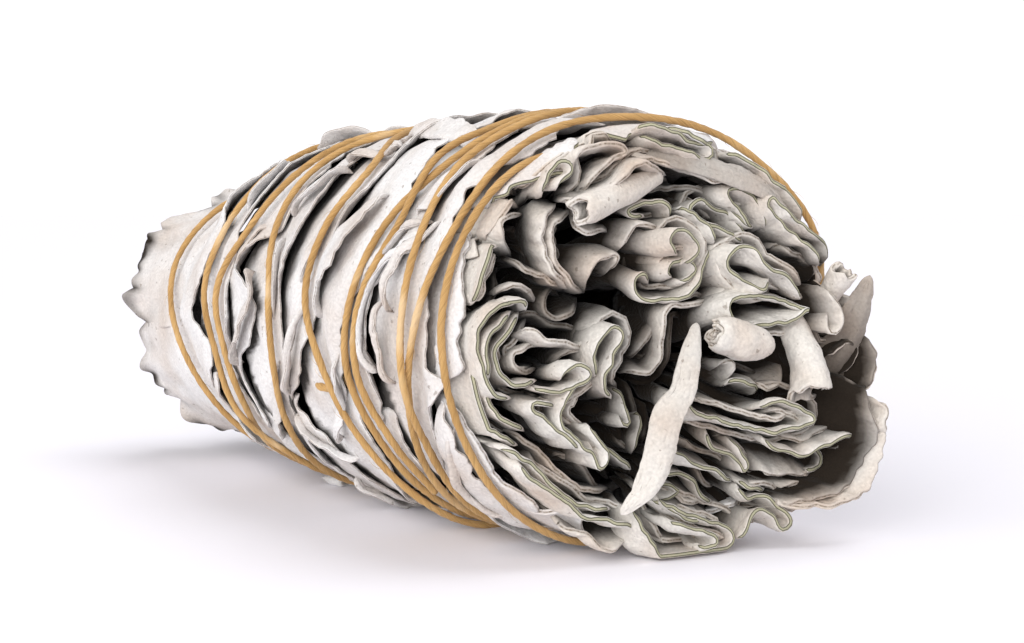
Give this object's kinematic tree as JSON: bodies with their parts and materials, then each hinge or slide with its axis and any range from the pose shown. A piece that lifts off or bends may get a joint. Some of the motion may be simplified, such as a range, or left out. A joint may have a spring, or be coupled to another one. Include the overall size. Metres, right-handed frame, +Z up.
{
  "type": "sage smudge stick",
  "caption": "Thick bunch of dried white sage leaves, cut square at one end and ruffled at the other, wrapped in whole leaves and bound with one thin criss-crossing cotton string.",
  "frame": {"origin": "middle of the bunch's box in plan, on the surface that it lies on", "axes": "+X along the stick to its cut end, +Z up, +Y across the stick"},
  "size_m": [0.1007, 0.0442, 0.0432],
  "materials": {
    "sage_leaf": "dry felted leaf, pale grey, matt",
    "rolled_sage": "dry felted leaf with cut edges, grey to olive green, matt",
    "cotton_twine": "ochre twisted cotton, slightly fuzzy, matt"
  },
  "bodies": {
    "root": {"outer_leaf_01": "sage_leaf", "outer_leaf_02": "sage_leaf", "outer_leaf_03": "sage_leaf", "outer_leaf_04": "sage_leaf", "outer_leaf_05": "sage_leaf", "outer_leaf_06": "sage_leaf", "outer_leaf_07": "sage_leaf", "outer_leaf_08": "sage_leaf", "outer_leaf_09": "sage_leaf", "outer_leaf_10": "sage_leaf", "outer_leaf_11": "sage_leaf", "outer_leaf_12": "sage_leaf", "outer_leaf_13": "sage_leaf", "outer_leaf_14": "sage_leaf", "outer_leaf_15": "sage_leaf", "outer_leaf_16": "sage_leaf", "outer_leaf_17": "sage_leaf", "outer_leaf_18": "sage_leaf", "outer_leaf_19": "sage_leaf", "outer_leaf_20": "sage_leaf", "outer_leaf_21": "sage_leaf", "outer_leaf_22": "sage_leaf", "outer_leaf_23": "sage_leaf", "outer_leaf_24": "sage_leaf", "outer_leaf_25": "sage_leaf", "outer_leaf_26": "sage_leaf", "outer_leaf_27": "sage_leaf", "outer_leaf_28": "sage_leaf", "outer_leaf_29": "sage_leaf", "heel_leaf": "sage_leaf", "rolled_leaves": "rolled_sage", "twine": "cotton_twine"}
  },
  "joints": []
}
